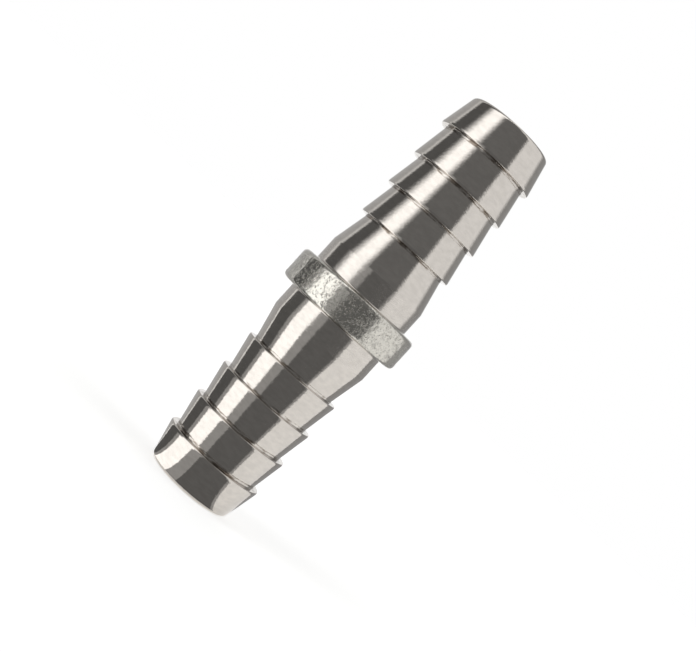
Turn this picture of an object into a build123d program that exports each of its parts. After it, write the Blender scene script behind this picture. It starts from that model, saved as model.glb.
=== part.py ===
from build123d import *
import os

# A double-ended hose joiner, turned as one piece: a barbed tail on each side of a round collar,
# with one bore right through. It stands on the end of its lower tail, with the bore along +Z.

# Driving dimensions, in millimetres. Each radial size builds on the one before it.
crest_d = 14.0          # over the barbs, for a 1/2 in (12.7 mm) or 13 mm hose
barb_height = 0.8       # a barb's crest above its root
tail_wall = 1.45        # metal between a barb's root and the bore
neck_rise = 0.2         # plain neck above the crests, on each side
collar_rise = 1.75      # collar above the neck, on each side
nose_fall = 1.06        # last crest down to the tail's end, on each side

# Lengths along the axis, in millimetres.
collar_width = 4.45
neck_length = 3.15      # plain neck, where the hose's end and its clip sit
taper_length = 4.7      # neck down to the first barb's root
barb_pitch = 4.75
upper_end_pitch = 5.05  # the upper tail's last barb sits a little further out
nose_length = 5.05      # last barb's root to the tail's end
root_land = 0.25        # level floor of a groove, just before the next barb's step
step_run = 0.08         # lean of a barb's step, from its root to its crest
crest_land = 0.3        # level crest between a barb's step and its cone
barb_count = 4          # on each tail

# Corner sizes, in millimetres.
collar_edge_r = 0.65
collar_root_r = 0.2
crest_edge_r = 0.15
barb_root_r = 0.08
nose_edge_r = 0.55
bore_chamfer = 0.3

# Radii that follow from the sizes above.
crest_r = crest_d / 2
root_r = crest_r - barb_height
bore_r = root_r - tail_wall
neck_r = crest_r + neck_rise
collar_r = neck_r + collar_rise
nose_r = crest_r - nose_fall
end_wall = nose_r - bore_r

corner_share = 0.45     # of a straight stretch, the most that one of its two corners may take


def fitted(size, *stretches):
    """A corner's size, kept within its share of the straight stretches beside it."""
    return min(size, *(corner_share * stretch for stretch in stretches))


def barb_roots(end_pitch):
    """Distances of a tail's barb roots from the collar's middle; end_pitch is the last spacing."""
    first = collar_width / 2 + neck_length + taper_length
    roots = [first + barb_pitch * turn for turn in range(barb_count - 1)]
    return roots + [roots[-1] + end_pitch]


def tail_corners(end_pitch):
    """One tail's outline from the collar's rim to the bore: radius, distance out, corner radius."""
    side = collar_width / 2
    corners = [
        (collar_r, side, fitted(collar_edge_r, collar_rise, collar_width)),
        (neck_r, side, fitted(collar_root_r, collar_rise, neck_length)),
        (neck_r, side + neck_length, 0),
    ]
    # A land has an arc at one end only, so that arc may take both corners' shares of it.
    root_edge = fitted(barb_root_r, barb_height, root_land * 2)
    crest_edge = fitted(crest_edge_r, barb_height, crest_land * 2)
    roots = barb_roots(end_pitch)
    for root in roots:
        crest = root + step_run
        corners += [
            (root_r, root - root_land, 0),
            (root_r, root, root_edge),
            (crest_r, crest, crest_edge),
            (crest_r, crest + crest_land, 0),
        ]
    tip = roots[-1] + nose_length
    mouth = fitted(bore_chamfer, end_wall)
    corners += [
        (nose_r, tip, fitted(nose_edge_r, (end_wall - mouth) * 2)),
        (bore_r + mouth, tip, 0),
        (bore_r, tip - mouth, 0),
    ]
    return corners


def hose_joiner():
    """The whole joiner: both tails' outlines in one closed half-section, turned about the bore."""
    upper = tail_corners(upper_end_pitch)
    lower = tail_corners(barb_pitch)
    collar_height = barb_roots(barb_pitch)[-1] + nose_length
    outline = [(radius, collar_height + out, edge) for radius, out, edge in upper]
    outline += [(radius, collar_height - out, edge) for radius, out, edge in reversed(lower)]
    half_section = make_face(
        FilletPolyline(
            *[(radius, 0, height) for radius, height, edge in outline],
            radius=[edge for radius, height, edge in outline],
            close=True,
        )
    )
    return revolve(half_section, Axis.Z)


os.makedirs("parts", exist_ok=True)
export_step(hose_joiner(), "parts/hose_joiner.step")
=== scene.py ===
import math

import bpy
import numpy as np
from mathutils import Matrix, Vector, noise


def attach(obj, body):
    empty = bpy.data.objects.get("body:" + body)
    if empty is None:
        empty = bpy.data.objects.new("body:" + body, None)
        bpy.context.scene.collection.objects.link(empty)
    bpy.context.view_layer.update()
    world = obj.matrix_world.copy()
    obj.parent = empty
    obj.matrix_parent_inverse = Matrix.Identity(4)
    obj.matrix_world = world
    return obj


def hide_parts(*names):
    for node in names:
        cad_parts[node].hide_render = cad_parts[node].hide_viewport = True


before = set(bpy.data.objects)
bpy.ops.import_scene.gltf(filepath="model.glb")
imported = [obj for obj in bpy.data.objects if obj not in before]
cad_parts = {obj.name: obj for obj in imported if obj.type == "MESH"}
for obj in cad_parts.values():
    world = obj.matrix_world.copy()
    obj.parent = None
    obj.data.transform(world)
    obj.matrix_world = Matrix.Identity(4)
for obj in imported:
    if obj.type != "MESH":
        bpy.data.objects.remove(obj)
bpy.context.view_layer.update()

MM = 0.001

# The joiner's outline, in millimetres, as its CAD source has it.
CREST_D = 14.0
BARB_HEIGHT = 0.8
TAIL_WALL = 1.45
NECK_RISE = 0.2
COLLAR_RISE = 1.75
NOSE_FALL = 1.06
COLLAR_WIDTH = 4.45
NECK_LENGTH = 3.15
TAPER_LENGTH = 4.7
BARB_PITCH = 4.75
UPPER_END_PITCH = 5.05
NOSE_LENGTH = 5.05
ROOT_LAND = 0.25
STEP_RUN = 0.08
CREST_LAND = 0.3
BARB_COUNT = 4
COLLAR_EDGE_R = 0.65
COLLAR_ROOT_R = 0.2
CREST_EDGE_R = 0.15
BARB_ROOT_R = 0.08
NOSE_EDGE_R = 0.55
BORE_CHAMFER = 0.3

# How finely the outline is turned into a mesh.
SEGMENTS = 348
ARC_STEP = math.radians(15)      # turn of an arc between two rows
SUPPORT = 0.025                  # mm from a straight stretch's ends to its extra rows
RIM_STEP = 0.16                  # mm between rows on the collar's rim, for its cast skin
NEAR = 0.01                      # mm, for telling whether a row lies on a stretch

# The cast skin on the collar, in millimetres: size of its bumps and how deep they go.
SKIN_WAVES = ((2.1, 0.026), (0.9, 0.022), (0.40, 0.030))
SKIN_SINK, SKIN_SWING = 0.3, 0.5  # shares of a depth: sunk everywhere, and swung by the noise
SKIN_STRETCH = 1.35              # how much longer they are along the joiner than round it
SKIN_FADE = 0.7                  # on the collar's sides, from its edge down to turned metal

# The camera, in metres and degrees. The joiner's axis leans to the right in the picture.
CAMERA_DISTANCE = 0.160
CAMERA_ABOVE_COLLAR = 0.0014
AIM_ABOVE_COLLAR = -0.00156
AIM_BESIDE_AXIS = 0.00134
AXIS_ABOVE_HORIZONTAL = 47.67
LENS_MM = 67.09
SENSOR_MM = 36.0


def tail_corners(end_pitch):
    """One tail's outline from the collar's rim to the bore: radius, distance out, corner radius."""
    crest_r = CREST_D / 2
    root_r = crest_r - BARB_HEIGHT
    bore_r = root_r - TAIL_WALL
    neck_r = crest_r + NECK_RISE
    side = COLLAR_WIDTH / 2
    corners = [
        (neck_r + COLLAR_RISE, side, COLLAR_EDGE_R),
        (neck_r, side, COLLAR_ROOT_R),
        (neck_r, side + NECK_LENGTH, 0),
    ]
    root = side + NECK_LENGTH + TAPER_LENGTH
    for barb in range(BARB_COUNT):
        if barb:
            root += end_pitch if barb == BARB_COUNT - 1 else BARB_PITCH
        crest = root + STEP_RUN
        corners += [
            (root_r, root - ROOT_LAND, 0),
            (root_r, root, BARB_ROOT_R),
            (crest_r, crest, CREST_EDGE_R),
            (crest_r, crest + CREST_LAND, 0),
        ]
    tip = root + NOSE_LENGTH
    corners += [
        (crest_r - NOSE_FALL, tip, NOSE_EDGE_R),
        (bore_r + BORE_CHAMFER, tip, 0),
        (bore_r, tip - BORE_CHAMFER, 0),
    ]
    return corners


def rounded(corners):
    """The closed outline as rows of points, each corner an arc, with support rows beside it."""
    rows = []
    count = len(corners)
    for i, (radius, height, edge_r) in enumerate(corners):
        here = Vector((radius, height))
        back = (Vector(corners[i - 1][:2]) - here).normalized()
        ahead = (Vector(corners[(i + 1) % count][:2]) - here).normalized()
        turn = math.pi - back.angle(ahead)
        if edge_r == 0:
            rows += [here + back * SUPPORT, here, here + ahead * SUPPORT]
            continue
        reach = edge_r * math.tan(turn / 2)
        start, end = here + back * reach, here + ahead * reach
        centre = here + (back + ahead).normalized() * (edge_r / math.cos(turn / 2))
        steps = max(3, math.ceil(turn / ARC_STEP))
        arm_a, arm_b = start - centre, end - centre
        rows.append(start + back * SUPPORT)
        for step in range(steps + 1):
            share = step / steps
            arm = (arm_a * math.sin((1 - share) * turn) + arm_b * math.sin(share * turn)) / math.sin(turn)
            rows.append(centre + arm)
        rows.append(end + ahead * SUPPORT)
    return rows


def outline():
    """The half section, from the upper tail's end round the collar to the lower tail's end."""
    upper = tail_corners(UPPER_END_PITCH)
    lower = tail_corners(BARB_PITCH)
    collar = lower[-2][1]
    corners = [(r, collar + out, edge) for r, out, edge in upper]
    corners += [(r, collar - out, edge) for r, out, edge in reversed(lower)]
    rows = rounded(corners)
    count = math.ceil((rows[0][1] - rows[-1][1]) / RIM_STEP)
    rim = [rows[-1].lerp(rows[0], step / count) for step in range(1, count)]
    return rows + rim, collar


def turned(rows):
    """The outline's rows turned about the bore, in millimetres: one ring of points for each row."""
    angles = np.linspace(0, 2 * math.pi, SEGMENTS, endpoint=False)
    ring = np.array([tuple(point) for point in rows])
    return np.stack(
        [
            ring[:, None, 0] * np.cos(angles),
            ring[:, None, 0] * np.sin(angles),
            np.repeat(ring[:, 1:2], SEGMENTS, axis=1),
        ],
        axis=-1,
    )


def skin_share(point):
    """How much of the cast skin a point of the outline has: all on the rim, none on the tails."""
    edge = CREST_D / 2 + NECK_RISE + COLLAR_RISE - COLLAR_EDGE_R
    return min(max(1 + (point[0] - edge) / SKIN_FADE, 0), 1)


def root_shade_share(point, collar):
    """How much painted shade a point gets: full in the corner at a barb's root, fading to none up the
    step to its crest.
    """
    crest_r = CREST_D / 2
    side = COLLAR_WIDTH / 2 + NECK_LENGTH + TAPER_LENGTH
    out = abs(point[1] - collar)
    share = 0.0
    for barb in range(BARB_COUNT):
        pitch = BARB_PITCH * barb
        if barb == BARB_COUNT - 1 and point[1] > collar:
            pitch += UPPER_END_PITCH - BARB_PITCH
        past = out - side - pitch
        beside_step = -ROOT_LAND - NEAR < past < STEP_RUN + NEAR
        if beside_step and point[0] > crest_r - BARB_HEIGHT - NEAR:
            share = max(share, min(1.0, (crest_r - point[0]) / BARB_HEIGHT))
    return share


def cast(points, rows):
    """The collar's points sunk into the metal by its cast skin's bumps."""
    for i, row in enumerate(rows):
        share = skin_share(row)
        if share == 0:
            continue
        along = rows[(i + 1) % len(rows)] - rows[i - 1]
        out = Vector((along[1], -along[0])).normalized()
        for k in range(SEGMENTS):
            here = points[i, k]
            spot = Vector((here[0], here[1], here[2] / SKIN_STRETCH))
            sunk = 0.0
            for size, depth in SKIN_WAVES:
                sunk += depth * (SKIN_SINK + SKIN_SWING * noise.noise(spot / size))
            sunk = max(sunk, 0.0) * share
            radius = math.hypot(here[0], here[1])
            inward = 1 - sunk * out[0] / radius
            points[i, k] = (here[0] * inward, here[1] * inward, here[2] - sunk * out[1])


def turned_mesh(name, rows, collar):
    """The joiner as one closed mesh of quads, with the collar's cast skin."""
    points = turned(rows)
    cast(points, rows)
    faces = []
    for i in range(len(rows)):
        j = (i + 1) % len(rows)
        for k in range(SEGMENTS):
            m = (k + 1) % SEGMENTS
            faces.append((i * SEGMENTS + k, j * SEGMENTS + k, j * SEGMENTS + m, i * SEGMENTS + m))
    mesh = bpy.data.meshes.new(name)
    mesh.from_pydata((points.reshape(-1, 3) * MM).tolist(), [], faces)
    mesh.validate()
    mesh.update()
    mesh.shade_smooth()
    skin = mesh.attributes.new("cast_skin", "FLOAT", "POINT")
    skin.data.foreach_set("value", np.repeat([skin_share(row) for row in rows], SEGMENTS))
    # This attribute marks where painted shade is laid: the corner at each barb's root.
    root_shade = mesh.attributes.new("root_shade", "FLOAT", "POINT")
    root_shade.data.foreach_set("value", np.repeat([root_shade_share(row, collar) for row in rows], SEGMENTS))
    return mesh


rows, collar_mm = outline()
mesh = turned_mesh("hose_joiner_turned", rows, collar_mm)
joiner = bpy.data.objects.new("hose_joiner_turned", mesh)
bpy.context.scene.collection.objects.link(joiner)
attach(joiner, "root")
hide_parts("hose_joiner")


STEEL = (0.60, 0.565, 0.525)
MOTTLE = (0.95, 1.04)            # darkest and lightest shares of the steel's colour
SKIN_COLOUR = (0.62, 0.60, 0.55)
# Painted shade: the cast skin's creases are darkened in colour, towards this dark brown.
CREASE_SHADE_COLOUR = (0.14, 0.12, 0.10)
CREASE_SHADE_SHARE = 0.8
# Painted shade: the colour laid in the corner at each barb's root.
ROOT_SHADE_COLOUR = (0.13, 0.095, 0.065)
ROUGHNESS = 0.075
DASH = (0.45, 0.16)              # mm, a turned surface's short tool marks: round the part, along it
DASH_DEPTH = 0.0110              # mm
GRAIN_SIZE, GRAIN_DEPTH = 0.18, 0.010    # mm, the cast skin's fine bumps
CREASE_SIZE, CREASE_DEPTH = 0.26, 0.012  # mm, and its creases


def metal():
    """Bright turned steel, bumpy and creased where the cast skin is, with painted shade in the creases
    and in the corners at the barbs' roots.
    """
    material = bpy.data.materials.new("polished_steel")
    material.use_nodes = True
    tree = material.node_tree
    new, link = tree.nodes.new, tree.links.new
    shader = tree.nodes["Principled BSDF"]
    place = new("ShaderNodeTexCoord").outputs["Object"]

    def attribute(name):
        node = new("ShaderNodeAttribute")
        node.attribute_name = name
        return node.outputs["Fac"]

    def grain(round_size, along_size, detail):
        scale = new("ShaderNodeVectorMath")
        scale.operation = "MULTIPLY"
        link(place, scale.inputs[0])
        across = 1 / (round_size * MM)
        scale.inputs[1].default_value = (across, across, 1 / (along_size * MM))
        node = new("ShaderNodeTexNoise")
        node.inputs["Scale"].default_value = 1.0
        node.inputs["Detail"].default_value = detail
        link(scale.outputs[0], node.inputs["Vector"])
        return node.outputs["Fac"]

    def ranged(value, low, high, to_low, to_high):
        node = new("ShaderNodeMapRange")
        link(value, node.inputs["Value"])
        for name, number in (("From Min", low), ("From Max", high)):
            node.inputs[name].default_value = number
        for name, number in (("To Min", to_low), ("To Max", to_high)):
            node.inputs[name].default_value = number
        return node.outputs["Result"]

    def times(first, second):
        node = new("ShaderNodeMath")
        node.operation = "MULTIPLY"
        for socket, value in zip(node.inputs, (first, second)):
            if isinstance(value, float):
                socket.default_value = value
            else:
                link(value, socket)
        return node.outputs[0]

    def mixed(share, first, second):
        node = new("ShaderNodeMix")
        node.data_type = "RGBA"
        link(share, node.inputs["Factor"])
        for socket, value in zip((node.inputs[6], node.inputs[7]), (first, second)):
            if isinstance(value, tuple):
                socket.default_value = (*value, 1)
            else:
                link(value, socket)
        return node.outputs[2]

    def bump(height, share, depth, under=None):
        node = new("ShaderNodeBump")
        node.inputs["Distance"].default_value = depth * MM
        link(share, node.inputs["Strength"])
        link(height, node.inputs["Height"])
        if under is not None:
            link(under, node.inputs["Normal"])
        return node.outputs["Normal"]

    skin, root_shade = attribute("cast_skin"), attribute("root_shade")
    turned_share = ranged(skin, 0, 1, 1, 0)
    marks = bump(grain(*DASH, 2.0), turned_share, DASH_DEPTH)
    bumpy = bump(grain(GRAIN_SIZE, GRAIN_SIZE * SKIN_STRETCH, 1.0), skin, GRAIN_DEPTH, marks)
    fold = grain(CREASE_SIZE, CREASE_SIZE * SKIN_STRETCH, 2.0)
    crease = times(ranged(fold, 0.46, 0.50, 0.0, 1.0), ranged(fold, 0.50, 0.54, 1.0, 0.0))
    crease = times(crease, ranged(grain(0.5, 0.5, 2.0), 0.42, 0.52, 0.1, 1.0))
    link(bump(ranged(crease, 0.0, 1.0, 1.0, 0.0), skin, CREASE_DEPTH, bumpy), shader.inputs["Normal"])
    mottle = ranged(grain(1.2, 0.5, 3.0), 0.35, 0.65, 0.0, 1.0)
    steel = mixed(mottle, *(tuple(part * share for part in STEEL) for share in MOTTLE))
    # Painted shade: the cast skin's colour is darkened along its creases.
    skin_with_crease_shade = mixed(times(crease, CREASE_SHADE_SHARE), SKIN_COLOUR, CREASE_SHADE_COLOUR)
    surface = mixed(skin, steel, skin_with_crease_shade)
    # Painted shade in the corners at the barbs' roots, broken into specks, darkest at each root.
    root_shade_specks = times(ranged(grain(1.6, 0.3, 3.0), 0.44, 0.60, 0.0, 0.85), root_shade)
    link(mixed(root_shade_specks, surface, ROOT_SHADE_COLOUR), shader.inputs["Base Color"])
    shader.inputs["Metallic"].default_value = 1.0
    shader.inputs["Roughness"].default_value = ROUGHNESS
    return material


joiner.data.materials.append(metal())


def camera(collar):
    """The camera, with the joiner's axis leaning to the right across the picture."""
    place = Vector((AIM_BESIDE_AXIS, -CAMERA_DISTANCE, collar + CAMERA_ABOVE_COLLAR))
    aim = Vector((AIM_BESIDE_AXIS, 0, collar + AIM_ABOVE_COLLAR))
    lean = math.radians(AXIS_ABOVE_HORIZONTAL)
    forward = (aim - place).normalized()
    up = Vector((-math.cos(lean), 0, math.sin(lean)))
    up = (up - up.dot(forward) * forward).normalized()
    right = forward.cross(up)
    data = bpy.data.cameras.new("camera")
    data.lens = LENS_MM
    data.sensor_width = SENSOR_MM
    data.clip_start, data.clip_end = 0.01, 10
    item = bpy.data.objects.new("camera", data)
    turn = Matrix((right, up, -forward)).transposed().to_4x4()
    item.matrix_world = Matrix.Translation(place) @ turn
    bpy.context.scene.collection.objects.link(item)
    bpy.context.scene.camera = item


camera(collar_mm * MM)

# A plain studio: white all round, with a softbox and a few neutral cards, so that the metal has
# something to mirror besides white. Azimuths run from the camera's side (0) round to the right (+)
# and the left (-), in degrees, and elevations from the horizon up. Each panel is laid over those
# before it: azimuths, elevations, softness of its edges, grey level (white is 1).
WHITE = 1.0
ALL_HEIGHTS = (-100, 100)
STUDIO = (
    ("dark card on the left", (-115, -75), ALL_HEIGHTS, 5, 0.12),
    ("grey card behind, on the left", (-165, -120), ALL_HEIGHTS, 8, 0.50),
    ("grey card behind, on the right", (120, 165), ALL_HEIGHTS, 8, 0.35),
    ("grey wall behind the camera", (-80, 50), ALL_HEIGHTS, 5, 0.40),
    ("dark cloth round the camera", (-15, 45), ALL_HEIGHTS, 4, 0.15),
    ("dark ceiling", (-40, 50), (10, 100), 6, 0.18),
    ("softbox on the left", (-70, -35), ALL_HEIGHTS, 10, 1.7),
)


def studio_world():
    """The studio as a world: white to every ray, with the panels seen by all but the camera."""
    world = bpy.data.worlds.new("studio")
    world.use_nodes = True
    tree = world.node_tree
    new, link = tree.nodes.new, tree.links.new

    def math_node(operation, *values):
        node = new("ShaderNodeMath")
        node.operation = operation
        for socket, value in zip(node.inputs, values):
            if isinstance(value, (int, float)):
                socket.default_value = value
            else:
                link(value, socket)
        return node.outputs[0]

    def ramp(value, at, soft, falling):
        node = new("ShaderNodeMapRange")
        node.interpolation_type = "SMOOTHSTEP"
        link(value, node.inputs["Value"])
        node.inputs["From Min"].default_value = at - soft
        node.inputs["From Max"].default_value = at + soft
        node.inputs["To Min"].default_value = 1.0 if falling else 0.0
        node.inputs["To Max"].default_value = 0.0 if falling else 1.0
        return node.outputs["Result"]

    def between(value, span, soft):
        rise, fall = ramp(value, span[0], soft[0], False), ramp(value, span[1], soft[1], True)
        return math_node("MULTIPLY", rise, fall)

    direction = new("ShaderNodeSeparateXYZ")
    link(new("ShaderNodeTexCoord").outputs["Generated"], direction.inputs[0])
    x, y, z = direction.outputs
    azimuth = math_node("DEGREES", math_node("ARCTAN2", x, math_node("MULTIPLY", y, -1.0)))
    elevation = math_node("DEGREES", math_node("ARCSINE", z))

    def mixed(share, first, level):
        node = new("ShaderNodeMix")
        link(share, node.inputs["Factor"])
        if isinstance(first, float):
            node.inputs["A"].default_value = first
        else:
            link(first, node.inputs["A"])
        node.inputs["B"].default_value = level
        return node.outputs["Result"]

    light = WHITE
    for _, across, up, soft, level in STUDIO:
        mask = between(azimuth, across, (soft, soft))
        if up != ALL_HEIGHTS:
            mask = math_node("MULTIPLY", mask, between(elevation, up, (soft, soft)))
        light = mixed(mask, light, level)
    seen = new("ShaderNodeLightPath").outputs["Is Camera Ray"]
    link(mixed(seen, light, WHITE), tree.nodes["Background"].inputs["Strength"])
    tree.nodes["Background"].inputs["Color"].default_value = (1, 1, 1, 1)
    bpy.context.scene.world = world


studio_world()


FLOOR_SIDE = 6.0                 # m
FLOOR_GAP = 0.00001              # m, so that the floor and the joiner's end face do not coincide
FLOOR_COLOUR = (0.80, 0.80, 0.79)
FLOOR_GLOW = 0.56                # seen by the camera and in the metal, so the lit floor is white


def floor():
    """A plain white floor under the lower tail's end, with the joiner's soft shadow on it."""
    half = FLOOR_SIDE / 2
    mesh = bpy.data.meshes.new("floor")
    sides = ((-half, -half), (half, -half), (half, half), (-half, half))
    mesh.from_pydata([(x, y, -FLOOR_GAP) for x, y in sides], [], [(0, 1, 2, 3)])
    item = bpy.data.objects.new("floor", mesh)
    bpy.context.scene.collection.objects.link(item)
    material = bpy.data.materials.new("white_floor")
    material.use_nodes = True
    tree = material.node_tree
    shader = tree.nodes["Principled BSDF"]
    shader.inputs["Base Color"].default_value = (*FLOOR_COLOUR, 1)
    shader.inputs["Roughness"].default_value = 1.0
    shader.inputs["Specular IOR Level"].default_value = 0.0
    shader.inputs["Emission Color"].default_value = (1, 1, 1, 1)
    path = tree.nodes.new("ShaderNodeLightPath").outputs
    seen = path["Is Camera Ray"]
    for ray in ("Is Glossy Ray", "Is Transmission Ray"):
        either = tree.nodes.new("ShaderNodeMath")
        either.operation = "MAXIMUM"
        tree.links.new(seen, either.inputs[0])
        tree.links.new(path[ray], either.inputs[1])
        seen = either.outputs[0]
    glow = tree.nodes.new("ShaderNodeMath")
    glow.operation = "MULTIPLY"
    tree.links.new(seen, glow.inputs[0])
    glow.inputs[1].default_value = FLOOR_GLOW
    tree.links.new(glow.outputs[0], shader.inputs["Emission Strength"])
    mesh.materials.append(material)


floor()


CARD_INNER = 0.0062              # m from the joiner's axis, just clear of its lower end
CARD_STACK = 0.00002             # m, each card's height over the one under it
CARD_STEPS = 24                  # straight stretches along a card's curved edges


def floor_card(name, across, level, height):
    """A card on the floor that carries one of the studio's panels down to the joiner's foot."""
    angles = np.radians(np.linspace(*across, CARD_STEPS + 1)).tolist()
    points = [
        (radius * math.sin(angle), -radius * math.cos(angle), height)
        for radius in (CARD_INNER, FLOOR_SIDE / 2)
        for angle in angles
    ]
    outer = len(angles)
    faces = [(k, k + 1, outer + k + 1, outer + k) for k in range(CARD_STEPS)]
    mesh = bpy.data.meshes.new(name)
    mesh.from_pydata(points, [], faces)
    material = bpy.data.materials.new(name)
    material.use_nodes = True
    shader = material.node_tree.nodes["Principled BSDF"]
    shader.inputs["Base Color"].default_value = (0, 0, 0, 1)
    shader.inputs["Specular IOR Level"].default_value = 0.0
    shader.inputs["Emission Color"].default_value = (1, 1, 1, 1)
    shader.inputs["Emission Strength"].default_value = level
    mesh.materials.append(material)
    item = bpy.data.objects.new(name, mesh)
    item.visible_camera = item.visible_diffuse = item.visible_shadow = False
    bpy.context.scene.collection.objects.link(item)


for order, (name, across, up, _, level) in enumerate(STUDIO, start=1):
    if up == ALL_HEIGHTS:
        floor_card(name + ", on the floor", across, level, order * CARD_STACK)

scene = bpy.context.scene
scene.view_settings.view_transform = "Standard"
